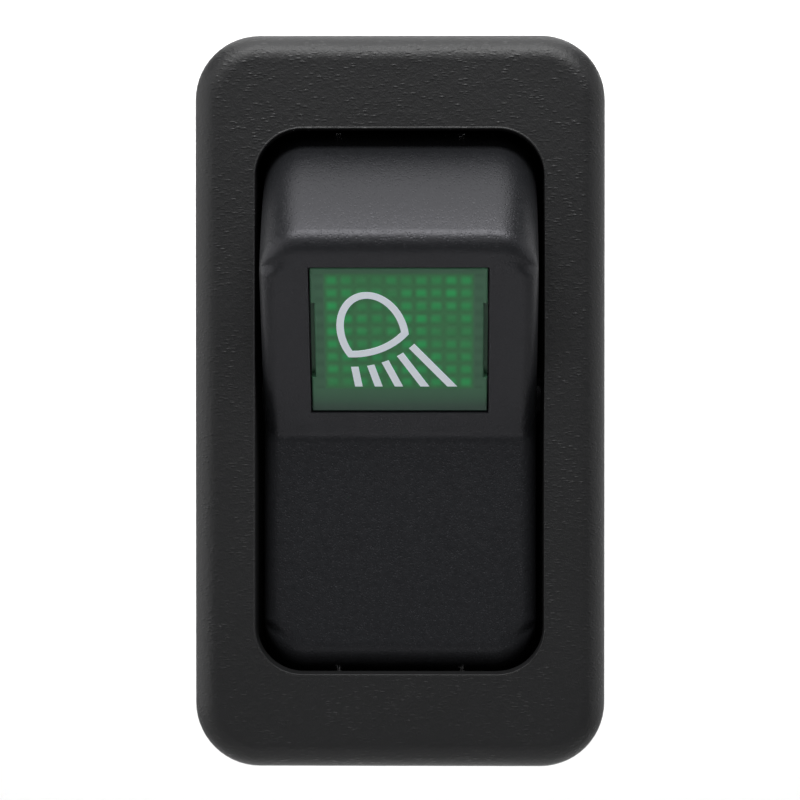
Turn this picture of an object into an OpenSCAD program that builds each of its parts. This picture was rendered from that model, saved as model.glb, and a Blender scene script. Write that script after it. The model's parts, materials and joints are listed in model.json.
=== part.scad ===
// Panel rocker switch: a bezel that snaps into a panel, a two-position rocker with a lit lens,
// and a double-pole contact block behind it. All sizes are in millimetres.
// The pieces are drawn with the panel's face at z = 0, the bezel towards +z and the switch's
// height along y. standing() then turns them so that the switch faces -Y with its height along Z.

/* [Rocker] */
// Width of the rocker across its face
rocker_w = 18.7; // [17:0.1:22]
// Radius of the rocker's end walls about its pivot
rocker_reach = 20; // [19:0.1:23]
// Height of the bend in the middle of the face above the pivot
bend_height = 9.3; // [8.8:0.1:10]
// Slope of each half of the face, in degrees
face_slope = 16.5; // [13:0.5:18]
// Tilt of the rocker to either side of level, in degrees
rocker_throw = 15; // [10:0.5:15.5]
// Radius that rounds the edges of the face
rocker_edge = 1.3; // [0.8:0.1:1.6]
// Radius of the rocker's corners, seen from the front
rocker_corner = 3; // [2:0.1:4]
// Thickness of the rocker's side and end walls
rocker_wall = 1.6; // [1.3:0.1:1.9]
// Thickness of the rocker's face
face_wall = 2; // [1.8:0.1:2.4]
// Angle down to which the end walls reach, above the pivot, in degrees
skirt_angle = 8; // [4:1:14]
// Radius of the trunnions that the rocker turns on
trunnion_r = 1.5; // [1.2:0.1:1.8]
// Length of each trunnion past the rocker's side
trunnion_l = 1.35; // [1:0.05:1.45]

/* [Lens] */
// Width of the lens
lens_w = 11.9; // [10.8:0.1:13]
// Length of the lens along the face
lens_l = 11.3; // [10:0.1:11.6]
// Distance from the bend to the lens, along the face
lens_start = 2; // [1.6:0.1:2.4]
// Thickness of the lens plate
lens_plate = 1.2; // [0.9:0.1:1.3]
// How far the lens lies below the face
lens_sink = 0.12; // [0:0.02:0.3]
// Clearance round the lens
lens_fit = 0.1; // [0.05:0.01:0.2]
// Prisms across the back of the lens
prism_columns = 10; // [6:1:12]
// Rows of prisms on the back of the lens
prism_rows = 9; // [6:1:10]
// Distance between prisms
prism_pitch = 1; // [0.8:0.01:1.02]
// Height of the prisms
prism_h = 0.4; // [0.2:0.05:0.5]
// Depth of the relief along the middle of each side of the lens
relief_depth = 0.25; // [0.1:0.05:0.4]
// Length of the relief
relief_l = 5.9; // [3:0.1:7]
// Line width of the printed sign
stroke = 0.5; // [0.3:0.02:0.6]
// Thickness of the print
print_t = 0.04; // [0.03:0.01:0.1]

/* [Bezel] */
// How far the bezel stands in front of the panel
bezel_t = 4; // [3.5:0.1:5]
// How far the bezel covers the panel past the body, all round
flange_lap = 3.1; // [2.5:0.1:5]
// Radius of the bezel's corners, seen from the front
bezel_corner = 4.4; // [3:0.1:6]
// Radius that rounds the bezel's front edge
bezel_edge = 1.8; // [0.6:0.1:2]
// Depth of the pivot behind the bezel's front
pivot_depth = 10.9; // [10.5:0.1:12]
// Depth of the lip round the window
lip_depth = 2.4; // [2:0.1:2.8]
// Radius of the window's corners
window_corner = 3.2; // [2:0.1:4]
// Radius that breaks the window's edge
window_edge = 0.25; // [0.1:0.05:0.5]
// Gap beside the rocker
side_gap = 0.475; // [0.35:0.025:0.7]
// Gap between the rocker's end walls and the lip
lip_gap = 0.4; // [0.3:0.05:0.6]
// Gap between the rocker's end walls and the body
end_gap = 0.35; // [0.3:0.05:0.6]

/* [Body behind the panel] */
// Thickness of the body's long walls
side_wall = 1.075; // [1:0.025:2]
// Thickness of the body's end walls
end_wall = 1.55; // [1.2:0.05:2.5]
// Depth of the body behind the panel, without the contact block's flange
body_depth = 24; // [23.5:0.5:30]
// Radius of the body's corners
body_corner = 1.5; // [0.8:0.1:2]
// Width of each snap tongue
tongue_w = 8; // [6:0.5:12]
// Length of each snap tongue
tongue_l = 11; // [9:0.5:13]
// Width of the slot round each tongue
tongue_slot = 0.8; // [0.5:0.1:1.2]
// How far each tongue's barb stands out
barb_h = 1; // [0.6:0.1:1.4]
// Thinnest panel that the barbs grip
grip_min = 2.1; // [2.1:0.1:3]
// Thickest panel that the barbs grip
grip_max = 3.1; // [2.6:0.1:4]

/* [Contacts] */
// Distance of each pole from the rocker's side
pole_inset = 4.05; // [3.9:0.05:4.2]
// Radius of the plungers
plunger_r = 1.6; // [1.2:0.1:1.7]
// Wall of the tubes that guide the plungers
tube_wall = 0.95; // [0.7:0.05:1.1]
// Length of the guide tubes below the pivot
tube_drop = 5.6; // [4.5:0.1:6]
// Distance from the pivot to the tip of each plunger
tip_reach = 9.4; // [9:0.1:10]
// Clearance of each plunger in its tube
plunger_fit = 0.05; // [0.02:0.01:0.1]
// Height of the springs' seats above the pivot
spring_seat = 3; // [2:0.1:4]
// Thickness of the springs' wire
wire_d = 0.4; // [0.3:0.05:0.5]
// Turns of each spring
spring_turns = 8; // [5:1:9]
// Thickness of the contact arms
arm_t = 0.8; // [0.6:0.1:1]
// Width of the contact arms
arm_w = 5; // [4.6:0.1:5.2]
// Length of each arm from its fulcrum to the end with the contact
arm_reach = 11; // [10.5:0.1:12]
// Length of each arm from its fulcrum to its other end
arm_tail = 8.5; // [7:0.1:9]
// Half of the width of the dip in each arm
dip_half = 2.7; // [2.4:0.1:2.9]
// Turn of the arms for one degree of the rocker
arm_ratio = 0.5; // [0.4:0.05:0.5]
// Distance of the contacts from the fulcrum
contact_y = 9; // [8.5:0.1:9.2]
// Radius of the contacts
contact_r = 1.6; // [1.2:0.1:1.8]
// Thickness of the contacts
contact_t = 0.9; // [0.6:0.1:1]

/* [Contact block] */
// Thickness of the contact block's flange
block_flange = 2; // [1.5:0.1:3]
// Distance between the rows of terminals
row_pitch = 12; // [11.6:0.1:13]
// Width of the terminal blades
blade_w = 6.3; // [6.3, 4.8]
// Thickness of the terminal blades
blade_t = 0.8; // [0.5:0.1:0.8]
// Length of the blades behind the contact block
blade_l = 9; // [7:0.5:12]
// Thickness of the lamp's circuit board
board_t = 1.2; // [0.8:0.1:1.6]
// Height of the circuit board above the block's floor
board_h = 7.6; // [6:0.1:8]
// Length of the circuit board
board_l = 11; // [9:0.5:12]
// Distance of the lamp from the middle
lamp_y = 7; // [6:0.5:8]
// Radius of the lamp
lamp_r = 1.5; // [1.2:0.1:1.6]
// Height of the lamp
lamp_h = 4.4; // [3:0.1:5]

/* [Hidden] */

$fn = 64;
LEFT = -1;
RIGHT = 1;
// Reach of a cut past the face it opens
over = 1;
// How far one part of a moulding runs into the next
sunk = 0.5;
// Clearance of a turning fit, and of a piece that is pushed into another
turn_fit = 0.05;
seat_fit = 0.03;
// Gap between pieces that touch in use
touch_gap = 0.05;

// A point turned about the origin, and the point at a distance in a direction
function turned(a, p) = [p.x*cos(a) - p.y*sin(a), p.x*sin(a) + p.y*cos(a)];
function ray_point(r, a) = [r*cos(a), r*sin(a)];

// Rocker: distance of each half of the face from the pivot, and where the bend, the lens and
// the rounded ridge lie along it, from the foot of that distance
face_dist = bend_height*cos(face_slope);
bend_along = bend_height*sin(face_slope);
ridge_along = sqrt(pow(rocker_reach - rocker_edge, 2) - pow(face_dist - rocker_edge, 2));
ridge_angle = face_slope + atan2(face_dist - rocker_edge, ridge_along);
ridge_centre = turned(face_slope, [ridge_along, face_dist - rocker_edge]);
lens_along = bend_along + lens_start + lens_l/2;
ear_wall = 1.7;
ear_r = trunnion_r + ear_wall;
ear_half = 6;
// Where the side wall starts inside the ridge, and the steps that the outline is drawn in
inner_along = sqrt(pow(rocker_reach - rocker_corner, 2) - pow(face_dist - rocker_edge, 2));
inner_angle = face_slope + atan2(face_dist - rocker_edge, inner_along);
inner_corner = turned(face_slope, [inner_along, face_dist - rocker_edge]);
wall_steps = 6;
ridge_steps = 5;
corner_steps = 4;
round_steps = 5;
tube_r = plunger_r + plunger_fit + tube_wall;

// Lens: the prisms leave a plain band at the lens's lower edge
prism_w = prism_columns*prism_pitch;
prism_l = prism_rows*prism_pitch;
band_top = 0.47;
prism_shift = lens_l/2 - band_top - prism_l/2;
opening_gap = 0.15;
clip_w = 3;
clip_t = 0.6;
clip_drop = 1.2;
clip_catch = 0.25;
clip_lead = 0.1;
clip_nose = 0.2;
prism_top = 0.04;
prism_web = 0.05;

// Bezel and body
pivot_z = bezel_t - pivot_depth;
window_w = rocker_w + 2*side_gap;
window_h = 2*sqrt(pow(rocker_reach + lip_gap, 2) - pow(pivot_depth - lip_depth, 2));
cavity_h = 2*(rocker_reach + end_gap);
cavity_corner = 0.8;
body_w = window_w + 2*side_wall;
body_h = cavity_h + 2*end_wall;
bezel_w = body_w + 2*flange_lap;
bezel_h = body_h + 2*flange_lap;
latch_w = 6;
latch_h = 2;
latch_y = 12;
latch_out = 0.6;
latch_drop = 0.6;
latch_lead = 0.3;
latch_side_gap = 0.2;
tongue_root = 1.2;
barb_tip = 0.6;
barb_ramp = 6.5;

// Distance of each pole from the middle
pole_x = rocker_w/2 - pole_inset;

// Contact system: the plunger's tip runs along an arc in the arm's own frame, so the dip in
// the arm is an arc about the same centre
arm_throw = rocker_throw*arm_ratio;
knife_gap = 0.03;
spigot_r = 0.7;
spigot_h = 1.4;
plunger_top = 3.4;
coil_gap = 0.1;
fulcrum_drop = tip_reach + touch_gap + arm_t + knife_gap;
fulcrum_z = pivot_z - fulcrum_drop;
tip_centre = tip_reach - plunger_r;
path_low = fulcrum_drop - tip_centre;
path_end = turned(arm_throw, [tip_centre*sin(rocker_throw), fulcrum_drop - tip_centre*cos(rocker_throw)]);
path_rise = path_end.y - path_low;
path_r = (pow(path_end.x, 2) + pow(path_rise, 2))/(2*path_rise);
dip_r = path_r + plunger_r + touch_gap;
dip_centre = path_low + path_r;
wing_top = dip_centre - sqrt(pow(dip_r, 2) - pow(dip_half, 2));
wing_low = wing_top - arm_t;
waist_half = 1.5;
notch_half = 0.9;
prong_w = 0.9;
prong_gap = 0.3;
prong_h = 1.6;
rivet_r = 0.8;
rivet_head_r = 1.2;
rivet_head_h = 0.35;

// Contacts: the moving contact's face when the arm is down, and the dome that it then meets
dome_r = 4;
face_down = turned(arm_throw, [-contact_y, wing_low - contact_t]);
dome_centre = face_down + (dome_r + touch_gap)*[sin(arm_throw), -cos(arm_throw)];
fixed_top = dome_centre.y + dome_r;

// Contact block
floor_z = fulcrum_z + fixed_top - contact_t - blade_t;
plug_w = window_w - 2*turn_fit;
plug_h = cavity_h - 2*turn_fit;
rim_h = 2.4;
rim_t = 1.1;
rear_z = -body_depth - block_flange;
blade_tip_z = rear_z - blade_l;
shoulder_out = 0.45;
shoulder_h = 1.2;
rest_y = 7.4;
rest_t = 1.2;
rest_w = 3;
rest_gap = 0.3;
barrier_t = 1;
barrier_h = 6;
barrier_end = 2;
fin_t = 1;
fin_h = 3;
board_y = lamp_y + 1.5;
board_low = board_y - board_l/2;
board_rib_t = 0.8;
board_rib_h = 2;
board_rib_l = 4;
board_rib_y = lamp_y - 1;
resistor_r = 0.9;
resistor_l = 4.2;
resistor_up = 4.7;
cap_r = 1;
blade_hole_r = 0.8;
blade_hole_up = 4;
pad_margin = 0.6;

// Sign of a work light on the lens: the lamp is a tilted oval that its round front cuts off, and
// the rays spread from a focus above it and start at a gap from that front
dome_at = [-1.78, 0.63];
dome_half = [2.12, 2.96];
dome_angle = 15.5;
front_at = [-3.13, 3.48];
front_r = 4.56;
ray_focus = [-4.28, 5.55];
ray_gap = 1.02;
ray_foot = -3.65;
ray_ends = [-2.77, -1.42, -0.05, 1.71, 3.57];

plastic = "#26282a";
block_plastic = "#1d1f21";
lens_green = "#2c7a45";
print_colour = "#c8d0dc";
brass = "#c9a24a";
copper = "#b87445";
silver = "#c9ccd0";
tin = "#a9adb2";
steel = "#9aa0a6";
board_green = "#2f6b3c";

// Turns the finished piece so that the switch faces -Y and its height is along Z
module standing() {
    rotate([90, 0, 0]) children();
}

// The rocker's own frame: origin on the pivot, z out of the face, tilted to where it stands
module on_rocker() {
    translate([0, 0, pivot_z]) rotate([rocker_throw, 0, 0]) children();
}

// Frame of the rocker's upper face: z out of the face, y along it from the pivot's foot
module on_face() {
    rotate([face_slope, 0, 0]) translate([0, 0, face_dist]) children();
}

// A contact arm's own frame: origin on its fulcrum, tilted to where it stands
module on_arm(side) {
    translate([side*pole_x, 0, fulcrum_z]) rotate([-arm_throw, 0, 0]) children();
}

// Stretches a side profile, drawn as (y, z), along x about the middle
module across(width) {
    rotate([90, 0, 90]) linear_extrude(width, center = true) children();
}

module rounded_plan(w, h, r) {
    union() {
        square([w - 2*r, h], center = true);
        square([w, h - 2*r], center = true);
        for (x = [-1, 1], y = [-1, 1])
            translate([x*(w/2 - r), y*(h/2 - r)]) circle(r);
    }
}

// A block with a rounded plan whose edge follows the child profile. The profile is drawn as
// (distance from the corner's centre, height), from 0 to r and from 0 to t.
module edged_block(w, h, r, t) {
    for (x = [-1, 1], y = [-1, 1])
        translate([x*(w/2 - r), y*(h/2 - r), 0])
            rotate([0, 0, x > 0 ? (y > 0 ? 0 : 270) : (y > 0 ? 90 : 180)])
                rotate_extrude(angle = 90) children();
    for (x = [-1, 1])
        translate([x*(w/2 - r), 0, 0]) rotate([90, 0, x > 0 ? 0 : 180])
            linear_extrude(h - 2*r, center = true) children();
    for (y = [-1, 1])
        translate([0, y*(h/2 - r), 0]) rotate([90, 0, y*90])
            linear_extrude(w - 2*r, center = true) children();
    translate([-(w/2 - r), -(h/2 - r), 0]) cube([w - 2*r, h - 2*r, t]);
}

// Square profile with its outer top corner rounded
module rounded_edge(r, t, e) {
    difference() {
        square([r, t]);
        translate([r - e, t - e]) difference() {
            square(e + over);
            circle(e);
        }
    }
}

// Square profile for a cutter that goes past the face it opens, at height t, and rounds the edge
module flared_edge(r, t, e) {
    union() {
        square([r, t + over]);
        translate([r, t - e]) difference() {
            square([e, e + over]);
            translate([e, 0]) circle(e);
        }
    }
}

module bezel() {
    color(plastic) standing() difference() {
        union() {
            edged_block(bezel_w, bezel_h, bezel_corner, bezel_t)
                rounded_edge(bezel_corner, bezel_t, bezel_edge);
            translate([0, 0, -body_depth])
                linear_extrude(body_depth) rounded_plan(body_w, body_h, body_corner);
            for (end = [-1, 1]) snap_barb(end);
        }
        translate([0, 0, bezel_t - lip_depth - over])
            edged_block(window_w, window_h, window_corner, lip_depth + 2*over)
                flared_edge(window_corner, lip_depth + over, window_edge);
        translate([0, 0, -body_depth - over])
            linear_extrude(body_depth + over + bezel_t - lip_depth)
                rounded_plan(window_w, cavity_h, cavity_corner);
        translate([0, 0, pivot_z]) rotate([0, 90, 0])
            cylinder(r = trunnion_r + turn_fit, h = body_w + 2*over, center = true);
        for (end = [-1, 1]) tongue_slots(end);
        for (x = [-1, 1], y = [-1, 1])
            translate([x*(body_w/2 - side_wall/2), y*latch_y, floor_z - latch_h/2 - latch_drop])
                cube([side_wall + 2*over, latch_w, latch_h], center = true);
    }
}

// The U-shaped slot that frees a snap tongue in an end wall
module tongue_slots(end) {
    top = -tongue_root;
    wall_y = end*(body_h/2 - end_wall/2);
    translate([0, wall_y, top - tongue_slot/2])
        cube([tongue_w + 2*tongue_slot, end_wall + 2*over, tongue_slot], center = true);
    for (x = [-1, 1])
        translate([x*(tongue_w + tongue_slot)/2, wall_y, top - tongue_l/2])
            cube([tongue_slot, end_wall + 2*over, tongue_l], center = true);
}

// The barb on a snap tongue: a sloping grip for the panel and a long lead-in ramp
module snap_barb(end) {
    y0 = body_h/2 - end_wall/2;
    y1 = body_h/2;
    mirror([0, end > 0 ? 0 : 1, 0]) across(tongue_w)
        polygon([[y0, -grip_min], [y1, -grip_min], [y1 + barb_h, -grip_max],
            [y1 + barb_h, -grip_max - barb_tip], [y1, -grip_max - barb_ramp],
            [y0, -grip_max - barb_ramp]]);
}

// Outline of the rocker's upper half from the foot of its end wall to the bend. Each entry holds
// a point of the face's outline, the point below it where the side wall starts, and the distance
// that the rounding takes from the width there.
upper_outline = concat(
    [for (i = [0 : wall_steps])
        let (f = i/wall_steps)
        [ray_point(rocker_reach, skirt_angle + f*(ridge_angle - skirt_angle)),
            ray_point(rocker_reach - rocker_corner, skirt_angle + f*(inner_angle - skirt_angle)),
            rocker_corner]],
    [for (i = [1 : ridge_steps])
        [ridge_centre + ray_point(rocker_edge, ridge_angle + i/ridge_steps*(90 + face_slope - ridge_angle)),
            inner_corner, rocker_corner]],
    [for (i = [1 : corner_steps])
        let (a = 90*i/corner_steps)
        [turned(face_slope, [inner_along + (ridge_along - inner_along)*cos(a), face_dist]),
            inner_corner, rocker_corner - (rocker_corner - rocker_edge)*sin(a)]]);
outline = concat(upper_outline,
    [[[0, bend_height], [0, bend_height - rocker_edge/cos(face_slope)], rocker_edge]],
    [for (i = [len(upper_outline) - 1 : -1 : 0])
        let (e = upper_outline[i])
        [[-e[0].x, e[0].y], [-e[1].x, e[1].y], e[2]]]);

// One section of the rocker, from the side wall on the left over the face to the right
function section(e) = concat(
    [for (k = [0 : round_steps]) section_point(e, LEFT, 90*k/round_steps)],
    [for (k = [round_steps : -1 : 0]) section_point(e, RIGHT, 90*k/round_steps)]);
function section_point(e, side, a) =
    let (p = e[1] + (e[0] - e[1])*sin(a)) [side*(rocker_w/2 - e[2]*(1 - cos(a))), p.x, p.y];

// The rocker's outside: sections along its outline, flat sides with an ear round each trunnion,
// and an open underside that the hollow then cuts away
module rocker_block() {
    foot = outline[0][1].y;
    under = concat([[-ear_half, foot]], [for (g = [200 : 20 : 340]) ray_point(ear_r, g)],
        [[ear_half, foot]]);
    n = 2*(round_steps + 1);
    last = (len(outline) - 1)*n;
    left_0 = len(outline)*n;
    right_0 = left_0 + len(under);
    hub = right_0 + len(under);
    points = concat([for (e = outline) each section(e)],
        [for (p = under) [-rocker_w/2, p.x, p.y]], [for (p = under) [rocker_w/2, p.x, p.y]],
        [for (side = [LEFT, RIGHT]) [side*rocker_w/2, 0, bend_height/2]]);
    skin = [for (i = [0 : len(outline) - 2], k = [0 : n - 2])
        let (a = i*n + k) each [[a, a + 1, a + 1 + n], [a, a + 1 + n, a + n]]];
    left_rim = concat([for (i = [0 : len(outline) - 1]) i*n], [for (i = [0 : len(under) - 1]) left_0 + i]);
    right_rim = concat([for (i = [0 : len(outline) - 1]) i*n + n - 1],
        [for (i = [0 : len(under) - 1]) right_0 + i]);
    rim = len(left_rim);
    sides = [for (i = [0 : rim - 1]) let (j = (i + 1) % rim)
        each [[hub, left_rim[i], left_rim[j]], [hub + 1, right_rim[j], right_rim[i]]]];
    floor = [for (i = [len(outline) - 1 : rim - 1]) let (j = (i + 1) % rim)
        each [[left_rim[i], right_rim[i], right_rim[j]], [left_rim[i], right_rim[j], left_rim[j]]]];
    feet = [[for (k = [n - 1 : -1 : 0]) k], [for (k = [0 : n - 1]) last + k]];
    polyhedron(points, concat(skin, sides, floor, feet));
}

// Hollow under the rocker's face
module rocker_hollow() {
    inner_bend = bend_height - face_wall/cos(face_slope);
    far = rocker_reach + over;
    across(rocker_w - 2*rocker_wall) intersection() {
        circle(rocker_reach - rocker_wall);
        polygon([[0, inner_bend], [far, inner_bend + far*tan(face_slope)], [far, -far],
            [-far, -far], [-far, inner_bend + far*tan(face_slope)]]);
    }
}

module rocker() {
    color(plastic) standing() on_rocker() difference() {
        union() {
            difference() {
                rocker_block();
                rocker_hollow();
            }
            for (side = [LEFT, RIGHT]) {
                translate([side*pole_x, 0, -tube_drop])
                    cylinder(r = tube_r, h = tube_drop + bend_height - face_wall/2);
                translate([side*(rocker_w/2 + (trunnion_l - rocker_wall)/2), 0, 0])
                    rotate([0, 90, 0])
                        cylinder(r = trunnion_r, h = trunnion_l + rocker_wall, center = true);
            }
        }
        for (side = [LEFT, RIGHT])
            translate([side*pole_x, 0, -tube_drop - over])
                cylinder(r = plunger_r + plunger_fit, h = tube_drop + over + spring_seat);
        on_face() translate([0, lens_along, 0]) {
            translate([0, 0, -(lens_sink + lens_plate)/2 + over/2])
                cube([lens_w + 2*lens_fit, lens_l + 2*lens_fit, lens_sink + lens_plate + over],
                    center = true);
            translate([0, prism_shift, -face_wall])
                cube([prism_w + 2*opening_gap, prism_l + 2*opening_gap, 2*face_wall], center = true);
        }
    }
}

// Places a child at the lens: z = 0 on its outer face, y along the face from its middle
module on_lens() {
    on_rocker() on_face() translate([0, lens_along, -lens_sink]) children();
}

module rocker_lens() {
    color(lens_green, 0.8) standing() on_lens() union() {
        translate([0, 0, -lens_plate]) linear_extrude(lens_plate) difference() {
            square([lens_w, lens_l], center = true);
            for (side = [-1, 1])
                translate([side*lens_w/2, 0]) square([2*relief_depth, relief_l], center = true);
        }
        translate([0, prism_shift, -lens_plate]) prisms();
        for (end = [-1, 1])
            translate([0, prism_shift + end*(prism_l/2 - clip_t/2), -lens_plate]) lens_clip(end);
    }
}

// The field of prisms: a plate with crossed V-grooves
module prisms() {
    groove = prism_pitch/2 - prism_top;
    difference() {
        translate([-prism_w/2, -prism_l/2, -prism_h]) cube([prism_w, prism_l, prism_h]);
        for (i = [1 : prism_columns - 1])
            translate([-prism_w/2 + i*prism_pitch, 0, -prism_h]) rotate([90, 0, 0])
                linear_extrude(prism_l + 2*over, center = true) v_groove(groove);
        for (i = [1 : prism_rows - 1])
            translate([0, -prism_l/2 + i*prism_pitch, -prism_h])
                across(prism_w + 2*over) v_groove(groove);
    }
}

module v_groove(half) {
    depth = prism_h - prism_web;
    polygon([[-half, 0], [-half, -over], [half, -over], [half, 0], [0, depth]]);
}

// Snap clip on the lens's back, caught under the edge of the opening in the face
module lens_clip(end) {
    out = clip_t/2 + clip_catch + opening_gap;
    low = -(face_wall - lens_sink - lens_plate) - touch_gap;
    mirror([0, end > 0 ? 0 : 1, 0]) across(clip_w)
        polygon([[-clip_t/2, 0], [clip_t/2, 0], [clip_t/2, low], [out, low - clip_lead],
            [out, low - clip_lead - clip_nose], [clip_t/2, -prism_h - clip_drop],
            [-clip_t/2, -prism_h - clip_drop]]);
}

// Sign of a work light: an oval lamp with a round front and rays below it, in one line width
module lamp_shape(grow) {
    intersection() {
        translate(dome_at) rotate(dome_angle) scale(dome_half + [grow, grow]) circle(1, $fn = 96);
        translate(front_at) circle(front_r + grow, $fn = 128);
    }
}

module ray(end) {
    run = [end - ray_focus.x, ray_foot - ray_focus.y];
    half = stroke/2*norm(run)/abs(run.y);
    polygon([ray_focus - [half, 0], [end - half, ray_foot], [end + half, ray_foot],
        ray_focus + [half, 0]]);
}

module work_light_sign() {
    color(print_colour) standing() on_lens() linear_extrude(print_t) union() {
        difference() {
            lamp_shape(stroke/2);
            lamp_shape(-stroke/2);
        }
        difference() {
            for (end = ray_ends) ray(end);
            translate(front_at) circle(front_r + ray_gap, $fn = 128);
        }
    }
}

module plunger(side) {
    color(brass) standing() on_rocker() translate([side*pole_x, 0, 0]) union() {
        translate([0, 0, -tip_centre]) cylinder(r = plunger_r, h = tip_centre - plunger_top);
        translate([0, 0, -tip_centre]) intersection() {
            sphere(plunger_r);
            translate([0, 0, -plunger_r]) cube(2*plunger_r, center = true);
        }
        translate([0, 0, -plunger_top]) cylinder(r = spigot_r, h = spigot_h);
    }
}

// A round wire swept along a helix whose first and last turns lie closed
module spring(r, wire, length, turns) {
    wire_sides = 6;
    steps = 16;
    closed = 1.05*wire;
    open_run = length - wire - 2*closed;
    function lift(t) = wire/2 + closed*(min(t, 1) + max(0, t - turns + 1))
        + open_run*max(0, min(1, (t - 1)/(turns - 2)));
    points = [for (i = [0 : turns*steps], j = [0 : wire_sides - 1])
        let (a = 360*i/steps, b = 360*j/wire_sides, out = r + wire/2*cos(b))
        [out*cos(a), out*sin(a), lift(i/steps) + wire/2*sin(b)]];
    skin = [for (i = [0 : turns*steps - 1], j = [0 : wire_sides - 1])
        let (a = i*wire_sides + j, b = i*wire_sides + (j + 1) % wire_sides)
        [a, b, b + wire_sides, a + wire_sides]];
    ends = [[for (j = [wire_sides - 1 : -1 : 0]) j],
        [for (j = [0 : wire_sides - 1]) turns*steps*wire_sides + j]];
    polyhedron(points, concat(skin, ends));
}

module plunger_spring(side) {
    color(steel) standing() on_rocker() translate([side*pole_x, 0, -plunger_top])
        spring(plunger_r - wire_d/2 - coil_gap, wire_d, plunger_top + spring_seat, spring_turns);
}

// Side profile of a contact arm: flat wings and a dip that the plunger runs in
module arm_profile() {
    difference() {
        union() {
            translate([-arm_reach, wing_low]) square([arm_reach + arm_tail, arm_t]);
            intersection() {
                translate([0, dip_centre]) circle(dip_r + arm_t);
                translate([-2*dip_half, wing_top - 2*dip_half]) square([4*dip_half, 2*dip_half]);
            }
        }
        translate([0, dip_centre]) circle(dip_r);
    }
}

module contact_arm(side) {
    color(copper) standing() on_arm(side) difference() {
        across(arm_w) arm_profile();
        for (x = [-1, 1])
            translate([x*(waist_half + arm_w/2), 0, 0])
                cube([arm_w, 2*notch_half, 4*wing_top], center = true);
        translate([0, -contact_y, 0]) cylinder(r = rivet_r, h = wing_top + over);
    }
}

module moving_contact(side) {
    color(silver) standing() on_arm(side) translate([0, -contact_y, wing_low]) union() {
        translate([0, 0, -contact_t]) cylinder(r = contact_r, h = contact_t);
        cylinder(r = rivet_r - seat_fit, h = arm_t);
        translate([0, 0, arm_t]) cylinder(r = rivet_head_r, h = rivet_head_h);
    }
}

module fixed_contact(side) {
    color(silver) standing() translate([side*pole_x, dome_centre.x, fulcrum_z]) union() {
        intersection() {
            translate([0, 0, dome_centre.y]) sphere(dome_r, $fn = 96);
            translate([0, 0, fixed_top - contact_t]) cylinder(r = contact_r, h = contact_t + over);
        }
        translate([0, 0, fixed_top - contact_t - blade_t])
            cylinder(r = rivet_r - seat_fit, h = blade_t + contact_t/2);
    }
}

// A flat blade with a chamfered tip and a hole, drawn as (x, z) and blade_t thick
module blade(top_z) {
    lead = blade_t;
    rotate([90, 0, 0]) linear_extrude(blade_t, center = true) difference() {
        polygon([[-blade_w/2, top_z], [blade_w/2, top_z], [blade_w/2, blade_tip_z + lead],
            [blade_w/2 - lead, blade_tip_z], [-blade_w/2 + lead, blade_tip_z],
            [-blade_w/2, blade_tip_z + lead]]);
        translate([0, blade_tip_z + blade_hole_up]) circle(blade_hole_r);
    }
}

module common_terminal(side) {
    prong_in = waist_half + prong_gap;
    color(tin) standing() translate([side*pole_x, 0, 0]) union() {
        blade(floor_z);
        translate([-blade_w/2 - (side > 0 ? shoulder_out : 0), -blade_t/2, floor_z])
            cube([blade_w + shoulder_out, blade_t, shoulder_h]);
        translate([-prong_in, -blade_t/2, floor_z])
            cube([2*prong_in, blade_t, fulcrum_z - blade_t/2 - floor_z]);
        translate([0, 0, fulcrum_z - blade_t/2]) rotate([0, 90, 0])
            cylinder(r = blade_t/2, h = 2*prong_in, center = true);
        for (x = [-1, 1])
            translate([x*(prong_in + prong_w/2), 0, (floor_z + fulcrum_z + prong_h)/2])
                cube([prong_w, blade_t, fulcrum_z + prong_h - floor_z], center = true);
    }
}

module load_terminal(side) {
    pad_end = dome_centre.x + contact_r + pad_margin;
    color(tin) standing() translate([side*pole_x, 0, 0]) difference() {
        union() {
            translate([0, -row_pitch, 0]) blade(floor_z);
            translate([-blade_w/2, -row_pitch - blade_t/2, floor_z])
                cube([blade_w, pad_end + row_pitch + blade_t/2, blade_t]);
        }
        translate([0, dome_centre.x, floor_z - over]) cylinder(r = rivet_r, h = blade_t + 2*over);
    }
}

module lamp_terminal(side) {
    tab_y = 2.4;
    color(tin) standing() union() {
        translate([side*pole_x, row_pitch, 0]) blade(floor_z);
        translate([side > 0 ? board_t/2 : -pole_x - blade_w/2, row_pitch - tab_y + blade_t/2, floor_z])
            cube([pole_x + blade_w/2 - board_t/2, tab_y, blade_t]);
    }
}

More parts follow.
